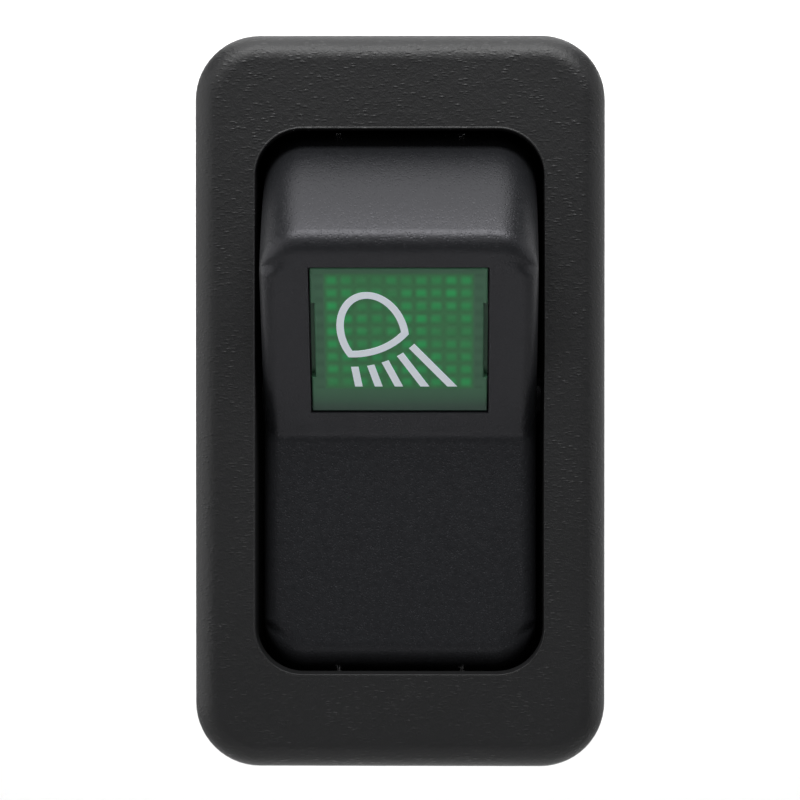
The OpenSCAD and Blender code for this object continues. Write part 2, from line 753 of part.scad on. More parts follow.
module contact_block() {
    color(block_plastic) standing() difference() {
        union() {
            translate([0, 0, rear_z]) linear_extrude(block_flange)
                rounded_plan(body_w, body_h, body_corner);
            translate([0, 0, -body_depth - sunk]) linear_extrude(floor_z + body_depth + sunk)
                rounded_plan(plug_w, plug_h, cavity_corner);
            translate([0, 0, floor_z - sunk]) linear_extrude(rim_h + sunk) difference() {
                rounded_plan(plug_w, plug_h, cavity_corner);
                square([plug_w - 2*rim_t, plug_h - 2*rim_t], center = true);
            }
            for (side = [LEFT, RIGHT]) {
                translate([side*pole_x - rest_w/2, rest_y - rest_t/2, floor_z - sunk])
                    cube([rest_w, rest_t, fulcrum_z - rest_gap - floor_z + sunk]);
                translate([side*(board_t/2 + seat_fit + board_rib_t/2) - board_rib_t/2,
                    board_rib_y - board_rib_l/2, floor_z - sunk])
                    cube([board_rib_t, board_rib_l, board_rib_h + sunk]);
            }
            translate([-barrier_t/2, -plug_h/2 + rim_t/2, floor_z - sunk])
                cube([barrier_t, plug_h/2 - rim_t/2 + barrier_end, barrier_h + sunk]);
            for (y = [-1, 1])
                translate([-body_w/2 + body_corner, y*row_pitch/2 - fin_t/2, rear_z - fin_h])
                    cube([body_w - 2*body_corner, fin_t, fin_h + sunk]);
            for (side = [-1, 1], y = [-1, 1]) translate([0, y*latch_y, 0]) latch(side);
        }
        for (side = [LEFT, RIGHT], row = [-1 : 1])
            translate([side*pole_x, row*row_pitch, (rear_z + floor_z)/2])
                cube([blade_w + 2*seat_fit, blade_t + 2*seat_fit, floor_z - rear_z + 2*over],
                    center = true);
    }
}

// A latch on the block's side, which springs into a window in the body's wall
module latch(side) {
    top = floor_z - latch_drop - turn_fit;
    low = top - latch_h + 2*turn_fit;
    mirror([side > 0 ? 0 : 1, 0, 0]) rotate([90, 0, 0])
        linear_extrude(latch_w - 2*latch_side_gap, center = true)
            polygon([[plug_w/2 - latch_lead, low], [plug_w/2 + latch_out - latch_lead, low],
                [plug_w/2 + latch_out, low + latch_lead], [plug_w/2, top], [plug_w/2 - latch_lead, top]]);
}

module lamp_board() {
    color(board_green) standing()
        translate([-board_t/2, board_low, floor_z]) cube([board_t, board_l, board_h]);
}

module lamp() {
    rim = 0.35;
    rim_h = 0.8;
    color("#dfe8d8") standing() translate([0, lamp_y, floor_z + board_h]) union() {
        cylinder(r = lamp_r + rim, h = rim_h);
        cylinder(r = lamp_r, h = lamp_h - lamp_r);
        translate([0, 0, lamp_h - lamp_r]) sphere(lamp_r);
    }
}

module resistor() {
    cap_l = 1;
    color("#c8b48a") standing()
        translate([-board_t/2 - cap_r - touch_gap, board_y, floor_z + resistor_up])
            rotate([90, 0, 0]) union() {
                cylinder(r = resistor_r, h = resistor_l, center = true);
                for (end = [-1, 1])
                    translate([0, 0, end*(resistor_l - cap_l)/2])
                        cylinder(r = cap_r, h = cap_l, center = true);
            }
}

bezel();
contact_block();
common_terminal(LEFT);  // common_terminal_left
common_terminal(RIGHT);  // common_terminal_right
load_terminal(LEFT);  // load_terminal_left
load_terminal(RIGHT);  // load_terminal_right
lamp_terminal(LEFT);  // lamp_terminal_negative
lamp_terminal(RIGHT);  // lamp_terminal_positive
fixed_contact(LEFT);  // fixed_contact_left
fixed_contact(RIGHT);  // fixed_contact_right
lamp_board();
lamp();
resistor();
rocker();
rocker_lens();
work_light_sign();
plunger(LEFT);  // plunger_left
plunger(RIGHT);  // plunger_right
plunger_spring(LEFT);  // plunger_spring_left
plunger_spring(RIGHT);  // plunger_spring_right
contact_arm(LEFT);  // contact_arm_left
contact_arm(RIGHT);  // contact_arm_right
moving_contact(LEFT);  // moving_contact_left
moving_contact(RIGHT);  // moving_contact_right
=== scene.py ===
"""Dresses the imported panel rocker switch: smooth moulded pieces, finishes, stage, lights and camera.

Sizes are in millimetres in the property groups and turned into metres by MM where a mesh is made.
"""
import json
import math

import bmesh
import bpy
from bpy.props import FloatProperty, FloatVectorProperty, IntProperty, PointerProperty
from mathutils import Euler, Matrix, Vector


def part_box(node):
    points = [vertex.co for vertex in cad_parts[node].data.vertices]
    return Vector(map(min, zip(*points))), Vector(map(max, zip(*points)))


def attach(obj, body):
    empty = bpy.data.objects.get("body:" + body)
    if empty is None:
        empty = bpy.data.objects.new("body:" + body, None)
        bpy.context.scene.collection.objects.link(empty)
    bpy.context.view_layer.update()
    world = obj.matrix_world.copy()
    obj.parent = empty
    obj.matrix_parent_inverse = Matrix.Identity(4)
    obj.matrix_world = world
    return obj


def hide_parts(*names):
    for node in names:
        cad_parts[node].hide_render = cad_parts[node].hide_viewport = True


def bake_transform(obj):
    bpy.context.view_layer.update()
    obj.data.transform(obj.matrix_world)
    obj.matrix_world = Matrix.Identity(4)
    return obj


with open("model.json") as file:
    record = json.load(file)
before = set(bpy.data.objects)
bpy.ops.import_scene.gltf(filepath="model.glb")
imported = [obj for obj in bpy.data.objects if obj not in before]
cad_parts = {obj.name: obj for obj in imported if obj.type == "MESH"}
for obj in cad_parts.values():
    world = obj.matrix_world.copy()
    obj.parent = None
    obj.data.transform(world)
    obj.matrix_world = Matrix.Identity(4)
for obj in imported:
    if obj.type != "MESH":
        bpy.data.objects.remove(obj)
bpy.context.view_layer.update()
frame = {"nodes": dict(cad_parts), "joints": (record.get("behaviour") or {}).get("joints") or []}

bl_info = {
    "name": "Panel rocker switch looks",
    "version": (1, 0, 0),
    "blender": (4, 5, 0),
    "location": "View3D > Sidebar > Rocker switch",
    "description": "Builds the moulded pieces, finishes and studio of a panel rocker switch",
    "category": "Object",
}

MM = 0.001  # metres in a millimetre
LEFT, RIGHT = -1, 1
QUARTER = [math.pi / 2 * k / 10 for k in range(11)]  # angles through a quarter turn, for roundings
FACE_WEIGHT = 80  # how strongly the flat faces hold the shading of the roundings beside them
OVERCUT = 1  # how far a cutter reaches past what it cuts, in millimetres

# The rocker's pivot in millimetres, and its angle to each side of the middle
ROCKER_TILT = next(j for j in frame["joints"] if j["name"] == "rocker_tilt")
PIVOT = Vector(ROCKER_TILT["pos_m"]) / MM
THROW = math.radians(ROCKER_TILT["range_deg"][1]) / 2

# Thickness of the terminals' blades, and depth of the contact block's floor, in millimetres
BLADE = 0.8
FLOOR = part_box("load_terminal_left")[0].y / MM + BLADE

# Name, place, target and size of each soft light in millimetres, and its radiance
LIGHTS = (
    ("key", (0, -229, 328), (0, 0, 0), (420, 140), 9.4),
    ("fill", (0, -370, 150), (0, 0, 0), (420, 110), 0.7),
    ("low", (0, -293, -272), (0, 0, 0), (420, 200), 0.38),
    ("overhead", (0, 104, 386), (0, 0, 0), (460, 560), 1.75),
    ("left", (-398, -35, 35), (0, 0, 0), (640, 420), 1.15),
    ("right", (394, 40, 35), (0, 0, 0), (640, 420), 0.75),
    ("backdrop", (0, 420, 330), (0, 700, 0), (900, 200), 8.3),
)


def length(name, default, description):
    """A property for a size in millimetres, the unit that CAMERA stands for."""
    return FloatProperty(name=name, default=default, description=description, min=0, precision=3,
                         unit="CAMERA")


def angle(name, degrees, description):
    """A property for an angle."""
    return FloatProperty(name=name, default=math.radians(degrees), description=description,
                         subtype="ANGLE")


def colour(name, default, description):
    """A property for a colour in linear light."""
    return FloatVectorProperty(name=name, default=default, description=description, subtype="COLOR",
                               min=0, max=1)


class SwitchBezel(bpy.types.PropertyGroup):
    """Sizes and finish of the bezel and of the body moulded with it."""

    edge: length("Front edge", 1.8, "Radius that rounds the bezel's front edge")
    rear_edge: length("Rear edge", 0.15, "Width that breaks the body's rear edge")
    corner: length("Corner", 4.4, "Radius of the bezel's corners")
    window_width: length("Window width", 19.65, "Width of the window round the rocker")
    window_height: length("Window height", 37.09, "Height of the window round the rocker")
    window_corner: length("Window corner", 3.2, "Radius of the window's corners")
    window_edge: length("Window edge", 0.05, "Radius that breaks the window's edge")
    bead: length("Bead", 0.035, "Height of the fine bead round the window")
    lip: length("Lip", 2.4, "Depth of the lip round the window")
    cavity_height: length("Cavity height", 40.7, "Height of the hollow behind the lip")
    cavity_corner: length("Cavity corner", 0.8, "Radius of the hollow's corners")
    side_wall: length("Side wall", 1.075, "Thickness of the body's long walls")
    end_wall: length("End wall", 1.55, "Thickness of the body's end walls")
    body_corner: length("Body corner", 1.5, "Radius of the body's corners")
    body_depth: length("Body depth", 24, "Depth of the body behind the panel")
    tongue_width: length("Tongue width", 8.4, "Width of each snap tongue")
    tongue_length: length("Tongue length", 11, "Length of each snap tongue")
    tongue_root: length("Tongue root", 1.2, "Distance from the panel's face to each tongue's free end")
    slot: length("Slot", 0.14, "Width of the slot round each tongue")
    barb: length("Barb", 1, "How far each tongue's barb stands out")
    grip_start: length("Grip start", 2.1, "Thinnest panel that the barbs grip")
    grip_end: length("Grip end", 3.1, "Thickest panel that the barbs grip")
    barb_tip: length("Barb tip", 0.6, "Flat on each barb's tip")
    barb_ramp: length("Barb ramp", 6.5, "Length of each barb from its grip to the foot of its ramp")
    latch_width: length("Latch width", 6, "Width of each window for the contact block's latches")
    latch_height: length("Latch height", 2, "Height of each latch window")
    latch_place: length("Latch place", 12, "Distance of the latch windows from the middle")
    latch_drop: length("Latch drop", 0.6, "Distance from the contact block's floor to the latch windows")
    trunnion_bore: length("Trunnion bore", 1.55, "Radius of the bores that the trunnions turn in")
    plastic: colour("Plastic", (0.0125, 0.0127, 0.0134), "Colour of the grained plastic")
    grain: length("Grain", 0.24, "Height of one cell of the moulded grain")
    grain_depth: length("Grain depth", 0.075, "Depth of the moulded grain")


class SwitchRocker(bpy.types.PropertyGroup):
    """Sizes and finish of the rocker."""

    width: length("Width", 18.7, "Width across the face")
    reach: length("Reach", 20, "Radius of the end walls about the pivot")
    bend_height: length("Bend height", 9.3, "Height of the bend above the pivot")
    face_slope: angle("Face slope", 16.5, "Slope of each half of the face")
    edge: length("Edge", 1.2, "Radius that rounds the face's side edges")
    ridge: length("Ridge", 1.8, "Radius between the face and the end walls")
    corner: length("Corner", 3, "Radius of the corners, seen from the front")
    bend_edge: length("Bend edge", 0.45, "Half of the width over which the face turns at the bend")
    bend_lift: FloatProperty(name="Bend lift", default=0.12, min=0,
                             description="Rise of the bend's floor, as a share of the bend's edge")
    wall: length("Wall", 1.6, "Thickness of the side and end walls")
    face_wall: length("Face wall", 2, "Thickness of the face")
    skirt_angle: angle("Skirt angle", 8, "Angle down to which the end walls reach")
    trunnion: length("Trunnion", 1.5, "Radius of the trunnions")
    ear_wall: length("Ear wall", 1.7, "Width of the side walls' ears round the trunnions")
    ear_root: length("Ear root", 6, "Distance from the trunnions to each end of the ears' roots")
    trunnion_out: length("Trunnion length", 1.35, "Length of each trunnion past the side")
    pole: length("Pole", 5.3, "Distance of each plunger from the middle")
    tube: length("Tube", 2.6, "Outer radius of the plungers' tubes")
    tube_drop: length("Tube drop", 5.6, "Length of the tubes below the pivot")
    bore: length("Bore", 1.65, "Radius of the tubes' bores")
    bore_top: length("Bore top", 3, "Height of the bores' ends above the pivot")
    plastic: colour("Plastic", (0.0115, 0.0121, 0.0135), "Colour of the matt plastic")
    speckle: length("Speckle", 0.12, "Size of the fine texture")
    speckle_depth: length("Speckle depth", 0.038, "Depth of the fine texture")


class SwitchLens(bpy.types.PropertyGroup):
    """Sizes and finish of the lens and the sign printed on it."""

    width: length("Width", 11.9, "Width of the lens")
    height: length("Height", 11.3, "Length of the lens along the face")
    start: length("Start", 2, "Distance from the bend to the lens")
    plate: length("Plate", 1.2, "Thickness of the lens plate")
    sink: length("Sink", 0.12, "How far the lens lies below the face")
    fit: length("Fit", 0.1, "Clearance round the lens")
    field_fit: length("Field fit", 0.15, "Clearance round the prisms and clips")
    edge: length("Edge", 0.1, "Width that breaks the lens's front edges")
    relief: length("Relief", 0.25, "Depth of the relief along each side")
    relief_length: length("Relief length", 5.9, "Length of the relief")
    columns: IntProperty(name="Columns", default=10, min=1, description="Prisms across the lens")
    rows: IntProperty(name="Rows", default=9, min=1, description="Rows of prisms")
    pitch: length("Pitch", 1, "Distance between prisms")
    prism: length("Prism", 0.4, "Height of the prisms")
    band: length("Band", 0.47, "Width of the plain band above the prisms")
    clip_width: length("Clip width", 3, "Width of each snap clip")
    clip_wall: length("Clip wall", 0.6, "Thickness of the clips")
    clip_hook: length("Clip hook", 0.4, "How far each clip's hook stands out")
    clip_seat: length("Clip seat", 0.73, "Distance from the plate's back to the hooks")
    clip_reach: length("Clip reach", 1.2, "How far the clips reach past the prisms")
    # Painted highlight: green is the colour painted where a prism throws light back.
    green: colour("Green", (0.022, 0.62, 0.16), "Colour of the lens where a prism throws light back")
    field: colour("Field", (0.060, 0.255, 0.100), "Colour of the lens between the prisms")
    shade: colour("Shade", (0.075, 0.200, 0.115), "Colour of the lens round the prisms")
    foot: colour("Foot", (0.055, 0.104, 0.080), "Colour of the plain band below the prisms")
    print: colour("Print", (0.84, 0.90, 0.98), "Colour of the printed sign")


class SwitchWorks(bpy.types.PropertyGroup):
    """Colours of the pieces behind the rocker."""

    tin: colour("Tin", (0.62, 0.61, 0.58), "Colour of the tin-plated terminals")
    copper: colour("Copper", (0.74, 0.38, 0.22), "Colour of the contact arms")
    silver: colour("Silver", (0.80, 0.79, 0.76), "Colour of the contacts")
    brass: colour("Brass", (0.76, 0.56, 0.25), "Colour of the plungers")
    steel: colour("Steel", (0.50, 0.50, 0.51), "Colour of the springs")
    block: colour("Block", (0.026, 0.027, 0.028), "Colour of the contact block")
    board: colour("Board", (0.03, 0.16, 0.06), "Colour of the lamp's board")
    resin: colour("Resin", (0.7, 0.78, 0.68), "Colour of the lamp")
    ceramic: colour("Ceramic", (0.55, 0.42, 0.27), "Colour of the resistor")


class SwitchStage(bpy.types.PropertyGroup):
    """Floor, surroundings and camera."""

    ambient: FloatProperty(name="Ambient", default=0.02, min=0, description="Light from all around")
    paper: colour("Paper", (0.85, 0.85, 0.85), "Colour of the floor and its sweep")
    drop: length("Drop", 500, "Distance of the floor below the middle of the switch")
    distance: length("Distance", 234, "Distance of the camera from the panel's face")
    aim: FloatVectorProperty(name="Aim", default=(-0.034, 0.058), size=2, precision=3, unit="CAMERA",
                             description="Point that the camera looks at, across and up from the middle")
    turn: angle("Turn", 0.8, "Angle of the camera to the right of the switch's front")
    rise: angle("Rise", 1.0, "Angle of the camera above the switch's front")
    view: angle("View", 13.48, "Angle that the camera takes in")


# ---------------------------------------------------------------------------------------------
# Meshes

def mesh_from(name, points, faces, matrix=None):
    """A mesh from points in millimetres, placed by a matrix in millimetres."""
    place = Matrix.Scale(MM, 4) @ (matrix or Matrix.Identity(4))
    mesh = bpy.data.meshes.new(name)
    mesh.from_pydata([place @ Vector(p) for p in points], [], faces)
    mesh.validate()
    return mesh


def tidied(mesh):
    """The same mesh with its faces turned outwards."""
    work = bmesh.new()
    work.from_mesh(mesh)
    bmesh.ops.recalc_face_normals(work, faces=work.faces)
    work.to_mesh(mesh)
    work.free()
    return mesh


def joined_rings(name, rings, closed, matrix=None):
    """A solid skin through rings of equally many points. The rings close on the first, or are capped."""
    count = len(rings[0])
    points = [p for ring in rings for p in ring]
    faces = []
    for i in range(len(rings) if closed else len(rings) - 1):
        a, b = i * count, (i + 1) % len(rings) * count
        faces += [(a + k, a + (k + 1) % count, b + (k + 1) % count, b + k) for k in range(count)]
    if not closed:
        faces += [tuple(range(count)), tuple(len(points) - 1 - k for k in range(count))]
    return tidied(mesh_from(name, points, faces, matrix))


def rounded_ring(width, height, radius, depth, steps=14):
    """Points round a rounded rectangle that faces -Y, depth behind the panel's face."""
    ring = []
    for quarter, (sx, sz) in enumerate(((1, 1), (-1, 1), (-1, -1), (1, -1))):
        for k in range(steps + 1):
            a = math.pi / 2 * (quarter + k / steps)
            ring.append((sx * (width / 2 - radius) + radius * math.cos(a), depth,
                         sz * (height / 2 - radius) + radius * math.sin(a)))
    return ring


def beside(side, near, far):
    """Two distances from the middle, on one side of it, the lower value first."""
    return sorted((side * near, side * far))


def block(low, high, matrix=None):
    """A box between two corners, for cutting and joining."""
    points = [(x, y, z) for x in (low[0], high[0]) for y in (low[1], high[1]) for z in (low[2], high[2])]
    faces = [(0, 1, 3, 2), (4, 6, 7, 5), (0, 4, 5, 1), (2, 3, 7, 6), (0, 2, 6, 4), (1, 5, 7, 3)]
    return tidied(mesh_from("block", points, faces, matrix))


def prism(outline, start, end, axes, matrix=None):
    """An outline stretched between two distances. axes orders (outline's two coordinates, distance)."""
    def point(p, d):
        values = dict(zip(axes, (p[0], p[1], d)))
        return tuple(values[a] for a in "xyz")
    return joined_rings("prism", [[point(p, d) for p in outline] for d in (start, end)], False, matrix)


def rod(radius, start, end, axis, centre=(0, 0), matrix=None, sides=48):
    """A round rod along x, y or z between two distances."""
    turn = [2 * math.pi * k / sides for k in range(sides)]
    outline = [(centre[0] + radius * math.cos(a), centre[1] + radius * math.sin(a)) for a in turn]
    return prism(outline, start, end, {"x": "yzx", "y": "xzy", "z": "xyz"}[axis], matrix)


def combine(mesh, operation, others):
    """The mesh with the others cut from it or joined to it."""
    def holder(data):
        piece = bpy.data.objects.new("holder", data)
        bpy.context.scene.collection.objects.link(piece)
        return piece
    target = holder(mesh)
    tools = [holder(m) for m in others]
    for tool in tools:
        modifier = target.modifiers.new("combine", "BOOLEAN")
        modifier.operation = operation
        modifier.solver = "EXACT"
        modifier.object = tool
    evaluated = target.evaluated_get(bpy.context.evaluated_depsgraph_get())
    result = bpy.data.meshes.new_from_object(evaluated)
    result.materials.clear()
    if not result.polygons:
        raise RuntimeError(f"{mesh.name}: nothing is left of the mesh after {operation}")
    for piece in [target] + tools:
        bpy.data.objects.remove(piece)
    return result


def piece(name, mesh, body, slot, finish, replaces=None, crease=32):
    """Puts a finished mesh in the scene, on its body."""
    mesh.name = name
    mesh.materials.clear()
    mesh.materials.append(finish)
    mesh.shade_smooth()
    mesh.set_sharp_from_angle(angle=math.radians(crease))
    thing = bpy.data.objects.new(name, mesh)
    bpy.context.scene.collection.objects.link(thing)
    weigh = thing.modifiers.new("weigh normals", "WEIGHTED_NORMAL")
    weigh.keep_sharp = True
    weigh.weight = FACE_WEIGHT
    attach(thing, body)
    if replaces:
        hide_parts(replaces)


# ---------------------------------------------------------------------------------------------
# Shaders

class Wire:
    """A shader socket. Arithmetic on it adds Math nodes."""

    def __init__(self, finish, socket):
        self.finish = finish
        self.socket = socket

    def math(self, operation, *values, clamp=False):
        """A Math node on this socket and the values."""
        settings = {"operation": operation, "use_clamp": clamp}
        return self.finish.node("ShaderNodeMath", settings, dict(enumerate((self, *values))))[0]

    def __add__(self, other):
        return self.math("ADD", other)

    def __sub__(self, other):
        return self.math("SUBTRACT", other)

    def __rsub__(self, other):
        return (self * -1) + other

    def __mul__(self, other):
        return self.math("MULTIPLY", other)

    def __truediv__(self, other):
        return self.math("DIVIDE", other)

    def __pow__(self, other):
        return self.math("POWER", other)

    __radd__ = __add__
    __rmul__ = __mul__

    def clamped(self):
        """The value, held between 0 and 1."""
        return self.math("ADD", 0.0, clamp=True)

    def step(self, low, high):
        """0 below low, 1 above high, and smooth between."""
        settings = {"interpolation_type": "SMOOTHSTEP"}
        inputs = {"Value": self, "From Min": low, "From Max": high, "To Min": 0.0, "To Max": 1.0}
        return self.finish.node("ShaderNodeMapRange", settings, inputs)["Result"]


class Outputs:
    """The outputs of a node, by number or name."""

    def __init__(self, finish, node):
        self.finish = finish
        self.node = node

    def __getitem__(self, key):
        return Wire(self.finish, self.node.outputs[key])


class Finish:
    """A material built from nodes around one Principled shader."""

    def __init__(self, name, constants):
        self.material = bpy.data.materials.new(name)
        self.material.use_nodes = True
        self.tree = self.material.node_tree
        self.tree.nodes.clear()
        self.shader = self.node("ShaderNodeBsdfPrincipled", {}, constants).node
        self.node("ShaderNodeOutputMaterial", {}, {"Surface": Wire(self, self.shader.outputs[0])})
        self.place = self.node("ShaderNodeTexCoord", {}, {})["Object"]

    def node(self, kind, settings, inputs):
        """Adds a node, sets it up, and fills or links its sockets."""
        made = self.tree.nodes.new(kind)
        for key, value in settings.items():
            setattr(made, key, value)
        for key, value in inputs.items():
            self.fill(made.inputs[key], value)
        return Outputs(self, made)

    def fill(self, socket, value):
        """Links a wire to a socket, or sets the socket's own value."""
        if isinstance(value, Wire):
            self.tree.links.new(value.socket, socket)
        elif socket.type == "RGBA":
            socket.default_value = (*tuple(value)[:3], 1)
        else:
            socket.default_value = value

    def set(self, key, value):
        """Fills a socket of the shader."""
        self.fill(self.shader.inputs[key], value)

    def stretched(self, scale):
        """Object coordinates in steps per millimetre: one number, or one for each axis."""
        each = scale if isinstance(scale, tuple) else (scale,) * 3
        inputs = {"Vector": self.place, "Scale": tuple(s / MM for s in each)}
        return self.node("ShaderNodeMapping", {}, inputs)["Vector"]

    def noise(self, scale, detail=2.0, roughness=0.5):
        """Noise with about scale lumps a millimetre."""
        inputs = {"Vector": self.stretched(scale), "Scale": 1.0, "Detail": detail,
                  "Roughness": roughness}
        return self.node("ShaderNodeTexNoise", {}, inputs)["Fac"]

    def cells(self, scale):
        """Distance to the middle of a cell, in a pattern of about scale cells a millimetre."""
        inputs = {"Vector": self.stretched(scale), "Scale": 1.0}
        return self.node("ShaderNodeTexVoronoi", {}, inputs)["Distance"]

    def mix(self, factor, first, second):
        """A colour between two colours."""
        settings = {"data_type": "RGBA"}
        return self.node("ShaderNodeMix", settings, {0: factor, 6: first, 7: second})[2]

    def bump(self, height, depth):
        """Feeds a height of 0 to 1, depth millimetres deep, to the shader's normal."""
        inputs = {"Height": height, "Distance": depth * MM}
        self.set("Normal", self.node("ShaderNodeBump", {}, inputs)["Normal"])


def shaded(base, factor):
    """A colour made darker or lighter."""
    return tuple(c * factor for c in base)


def band(value, middle, half, soft):
    """1 within half of the middle, falling to 0 over a soft edge."""
    return 1 - (value - middle).math("ABSOLUTE").step(half - soft, half + soft)


def hollow_shade_mask(finish, look):
    """1 on the walls of the hollow behind the panel and in the slots, and 0 outside: where the bezel's
    colour gets painted shade.
    """
    parts = finish.node("ShaderNodeSeparateXYZ", {}, {0: finish.place})
    across, depth, up = (parts[i] / MM for i in range(3))
    fade, skin = 0.2, (0.1, 0.05)

    def within(value, half):
        return 1 - value.math("ABSOLUTE").step(half - skin[0], half - skin[1])
    return (depth.step(-fade, fade) * within(across, look.window_width / 2 + look.side_wall)
            * within(up, look.cavity_height / 2 + look.end_wall))


def bezel_finish(look):
    """Black plastic with a moulded leather grain outside, and bare matt plastic inside the body,
    darkened there with painted shade.
    """
    finish = Finish("bezel_plastic", {"IOR": 1.48, "Specular IOR Level": 0.5})
    per_mm = 1 / look.grain
    pits = finish.cells((per_mm * 0.4, per_mm, per_mm * 1.1))
    patches = finish.noise(0.55).step(0.35, 0.62) * 0.8 + 0.2
    flecks = (1 - pits.step(0.05, 0.46)) * patches
    lumps = finish.noise(1.9, detail=3, roughness=0.65)
    fine = finish.noise(7, detail=3, roughness=0.6)
    inside = hollow_shade_mask(finish, look)
    finish.bump((flecks * 0.25 + lumps * 0.5 + fine * 0.25) * (1 - inside), look.grain_depth)
    outer = finish.mix(finish.noise(0.12), tuple(look.plastic), shaded(look.plastic, 1.2))
    # Painted shade: the hollow and the slots are darkened to a third of the plastic's colour.
    finish.set("Base Color", finish.mix(inside, outer, shaded(look.plastic, 0.3)))
    finish.set("Roughness", (0.40 + fine * 0.12 - flecks * 0.12 + inside * 0.4).clamped())
    return finish.material


def rocker_finish(look):
    """Black plastic with the fine matt texture of a spark-eroded mould."""
    finish = Finish("rocker_plastic", {"IOR": 1.48, "Specular IOR Level": 0.5,
                                       "Specular Tint": (0.94, 0.93, 1.0)})
    per_mm = 1 / look.speckle
    fine = finish.noise(per_mm, detail=3, roughness=0.65)
    coarse = finish.noise(per_mm * 0.35)
    spots = finish.cells(per_mm * 0.55).step(0.1, 0.42)
    finish.bump(fine * 0.35 + coarse * 0.4 + spots * 0.25, look.speckle_depth)
    finish.set("Base Color", finish.mix(coarse, tuple(look.plastic), shaded(look.plastic, 1.35)))
    finish.set("Roughness", (0.25 + fine * 0.10 + coarse * 0.14).clamped())
    return finish.material


def lens_finish(look, lens_place):
    """Clear green plastic whose prisms show as a field of soft squares of painted highlight."""
    finish = Finish("green_lens", {"IOR": 1.5, "Specular IOR Level": 0.25, "Coat Weight": 0.15,
                                   "Coat Roughness": 0.15, "Coat IOR": 1.5})
    local = lens_place.inverted()

    def coordinate(i):
        """Millimetres across or along the lens."""
        settings = {"operation": "DOT_PRODUCT"}
        inputs = {0: finish.place, 1: tuple(Vector(local[i][:3]) / MM)}
        return finish.node("ShaderNodeVectorMath", settings, inputs)["Value"] + local[i][3]

    def lobe(value, soft):
        """0 on the grooves between the prisms, rising to 1 over a share of the pitch."""
        return value.math("FRACT").math("PINGPONG", 0.5).step(0.0, soft)
    x, y = coordinate(0), coordinate(1)
    field_w, field_h, shift = prism_field(look)
    half_w, half_h, edge = field_w / 2, field_h / 2, 0.12
    across, along = (x + half_w) / look.pitch, (y - shift + half_h) / look.pitch
    field = band(x, 0, half_w, edge) * band(y, shift, half_h, edge)
    square = lobe(across, 0.36) * lobe(along, 0.46) * field

    # Painted highlight: each prism throws back its own share of the light, painted into the lens's
    # colour.
    cell = {0: across.math("FLOOR"), 1: along.math("FLOOR"), 2: 3.0}
    where = {"Vector": finish.node("ShaderNodeCombineXYZ", {}, cell)[0]}
    chance = finish.node("ShaderNodeTexWhiteNoise", {}, where)["Value"]
    cloud = finish.noise(0.28, detail=1).step(0.3, 0.7)
    painted_prism_light = square * (chance ** 1.4 * 0.38 + cloud * 0.32 + 0.1)

    # The plain border is darker at its foot, and shows the prisms' ends as faint teeth of painted shade.
    beside_field = band(x.math("ABSOLUTE"), half_w + 0.38, 0.3, edge) * band(y, shift, half_h, 0.1)
    teeth = beside_field * (1 - lobe(along, 0.45))
    low = (y * -1).step(half_h - shift + 0.1, look.height / 2)
    plain = finish.mix(low, tuple(look.shade), tuple(look.foot))
    plain = finish.mix(teeth * 0.3, plain, shaded(look.shade, 0.45))
    cloudy = finish.noise(3.5)
    inner = finish.mix(cloudy, shaded(look.field, 0.9), shaded(look.field, 1.1))
    finish.set("Base Color", finish.mix(painted_prism_light, finish.mix(field, plain, inner), tuple(look.green)))
    finish.set("Roughness", (0.26 + cloudy * 0.08).clamped())
    finish.bump(square * 0.8 + cloudy * 0.2, 0.03)
    return finish.material


def print_finish(look):
    """Pad-printed ink with slightly uneven cover, given a faint painted glow in its own colour."""
    # Painted light: the emission makes the ink glow faintly though nothing lights it from behind.
    finish = Finish("white_print", {"IOR": 1.45, "Emission Color": tuple(look.print),
                                    "Emission Strength": 0.19})
    cover = finish.noise(7, detail=3, roughness=0.6)
    finish.set("Base Color", finish.mix(cover, shaded(look.print, 0.9), tuple(look.print)))
    finish.set("Roughness", (0.42 + cover * 0.15).clamped())
    finish.bump(cover, 0.004)
    return finish.material


def metal_finish(name, base, roughness=0.3, scratch=0.004, across=(0.8, 9.6, 9.6)):
    """Sheet or wire metal with fine rolling marks, so many a millimetre along each axis."""
    finish = Finish(name, {"Metallic": 1.0})
    marks = finish.noise(across, detail=4, roughness=0.6)
    cloud = finish.noise(0.6)
    finish.set("Base Color", finish.mix(cloud, shaded(base, 0.82), tuple(base)))
    finish.set("Roughness", (roughness + marks * 0.14 + cloud * 0.08).clamped())
    finish.bump(marks, scratch)
    return finish.material


def moulded_finish(name, base, roughness=0.42):
    """Plain moulded plastic with faint flow marks."""
    finish = Finish(name, {"IOR": 1.5})
    flow = finish.noise(0.35, detail=3, roughness=0.55)
    fine = finish.noise(6)
    finish.set("Base Color", finish.mix(flow, shaded(base, 0.85), shaded(base, 1.15)))
    finish.set("Roughness", (roughness + flow * 0.1 + fine * 0.06).clamped())
    finish.bump(fine * 0.6 + flow * 0.4, 0.01)
    return finish.material


# ---------------------------------------------------------------------------------------------
# Pieces

def dress(nodes, material):
    """Gives CAD nodes a finish, on the shape that they have."""
    for name in nodes:
        data = frame["nodes"][name].data
        data.materials.clear()
        data.materials.append(material)


def pressed_spring(joint, material):
    """The spring behind a plunger, copied from its node with the given finish, in place of the node."""
    node = joint["child"].replace("plunger", "plunger_spring")
    mesh = frame["nodes"][node].data.copy()
    mesh.name = joint["child"].replace("plunger", "coil_spring")
    mesh.materials.clear()
    mesh.materials.append(material)
    spring = bpy.data.objects.new(mesh.name, mesh)
    bpy.context.scene.collection.objects.link(spring)
    axis = Vector(joint["axis"]).normalized()
    along = [v.co @ axis for v in mesh.vertices]
    middle = sum((v.co for v in mesh.vertices), Vector()) / len(mesh.vertices)
    head, foot = (middle + (end - middle @ axis) * axis for end in (max(along), min(along)))
    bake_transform(spring)
    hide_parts(node)


